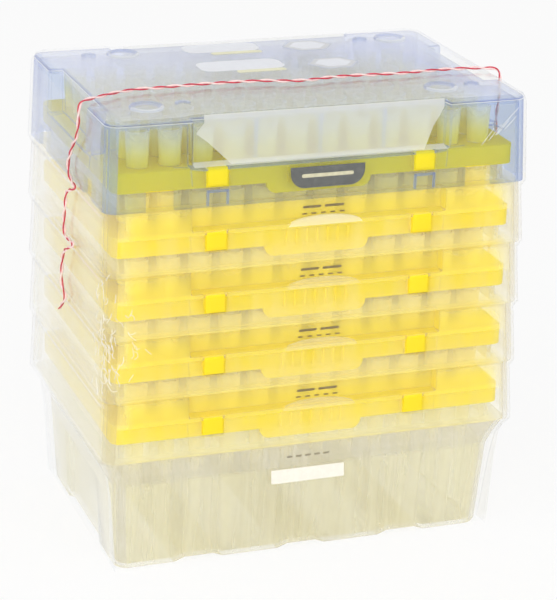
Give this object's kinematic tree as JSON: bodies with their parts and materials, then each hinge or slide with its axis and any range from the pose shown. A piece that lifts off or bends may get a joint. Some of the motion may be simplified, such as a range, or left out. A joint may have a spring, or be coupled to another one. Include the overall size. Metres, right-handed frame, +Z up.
{
  "type": "box of pipette tips",
  "caption": "Shrink-wrapped refill stack of pipette tips: yellow racks full of tips, each on a milky clear tray, nested under a blue-tinted clear lid, with a tear string.",
  "frame": {"origin": "middle of the footprint, at the height of the feet that it stands on", "axes": "+Z up through the stack, +X to the right along the long front, +Y to the back"},
  "size_m": [0.1273, 0.0852, 0.1345],
  "materials": {
    "lid_clear": "clear moulded plastic with a pale blue tint",
    "rack_yellow": "opaque satin moulded plastic",
    "tray_milky": "milky translucent moulded plastic",
    "label_white": "plain white self-adhesive label",
    "film_clear": "thin clear glossy shrink film with fine creases",
    "string_red": "twisted red and white thread"
  },
  "bodies": {
    "root": {"lid": "lid_clear", "tip_rack_1": "rack_yellow", "tip_rack_2": "rack_yellow", "tip_rack_3": "rack_yellow", "tip_rack_4": "rack_yellow", "tip_rack_5": "rack_yellow", "tray_1": "tray_milky", "tray_2": "tray_milky", "tray_3": "tray_milky", "tray_4": "tray_milky", "base_tray": "tray_milky", "label": "label_white", "shrink_film": "film_clear", "tear_string": "string_red"}
  },
  "joints": []
}
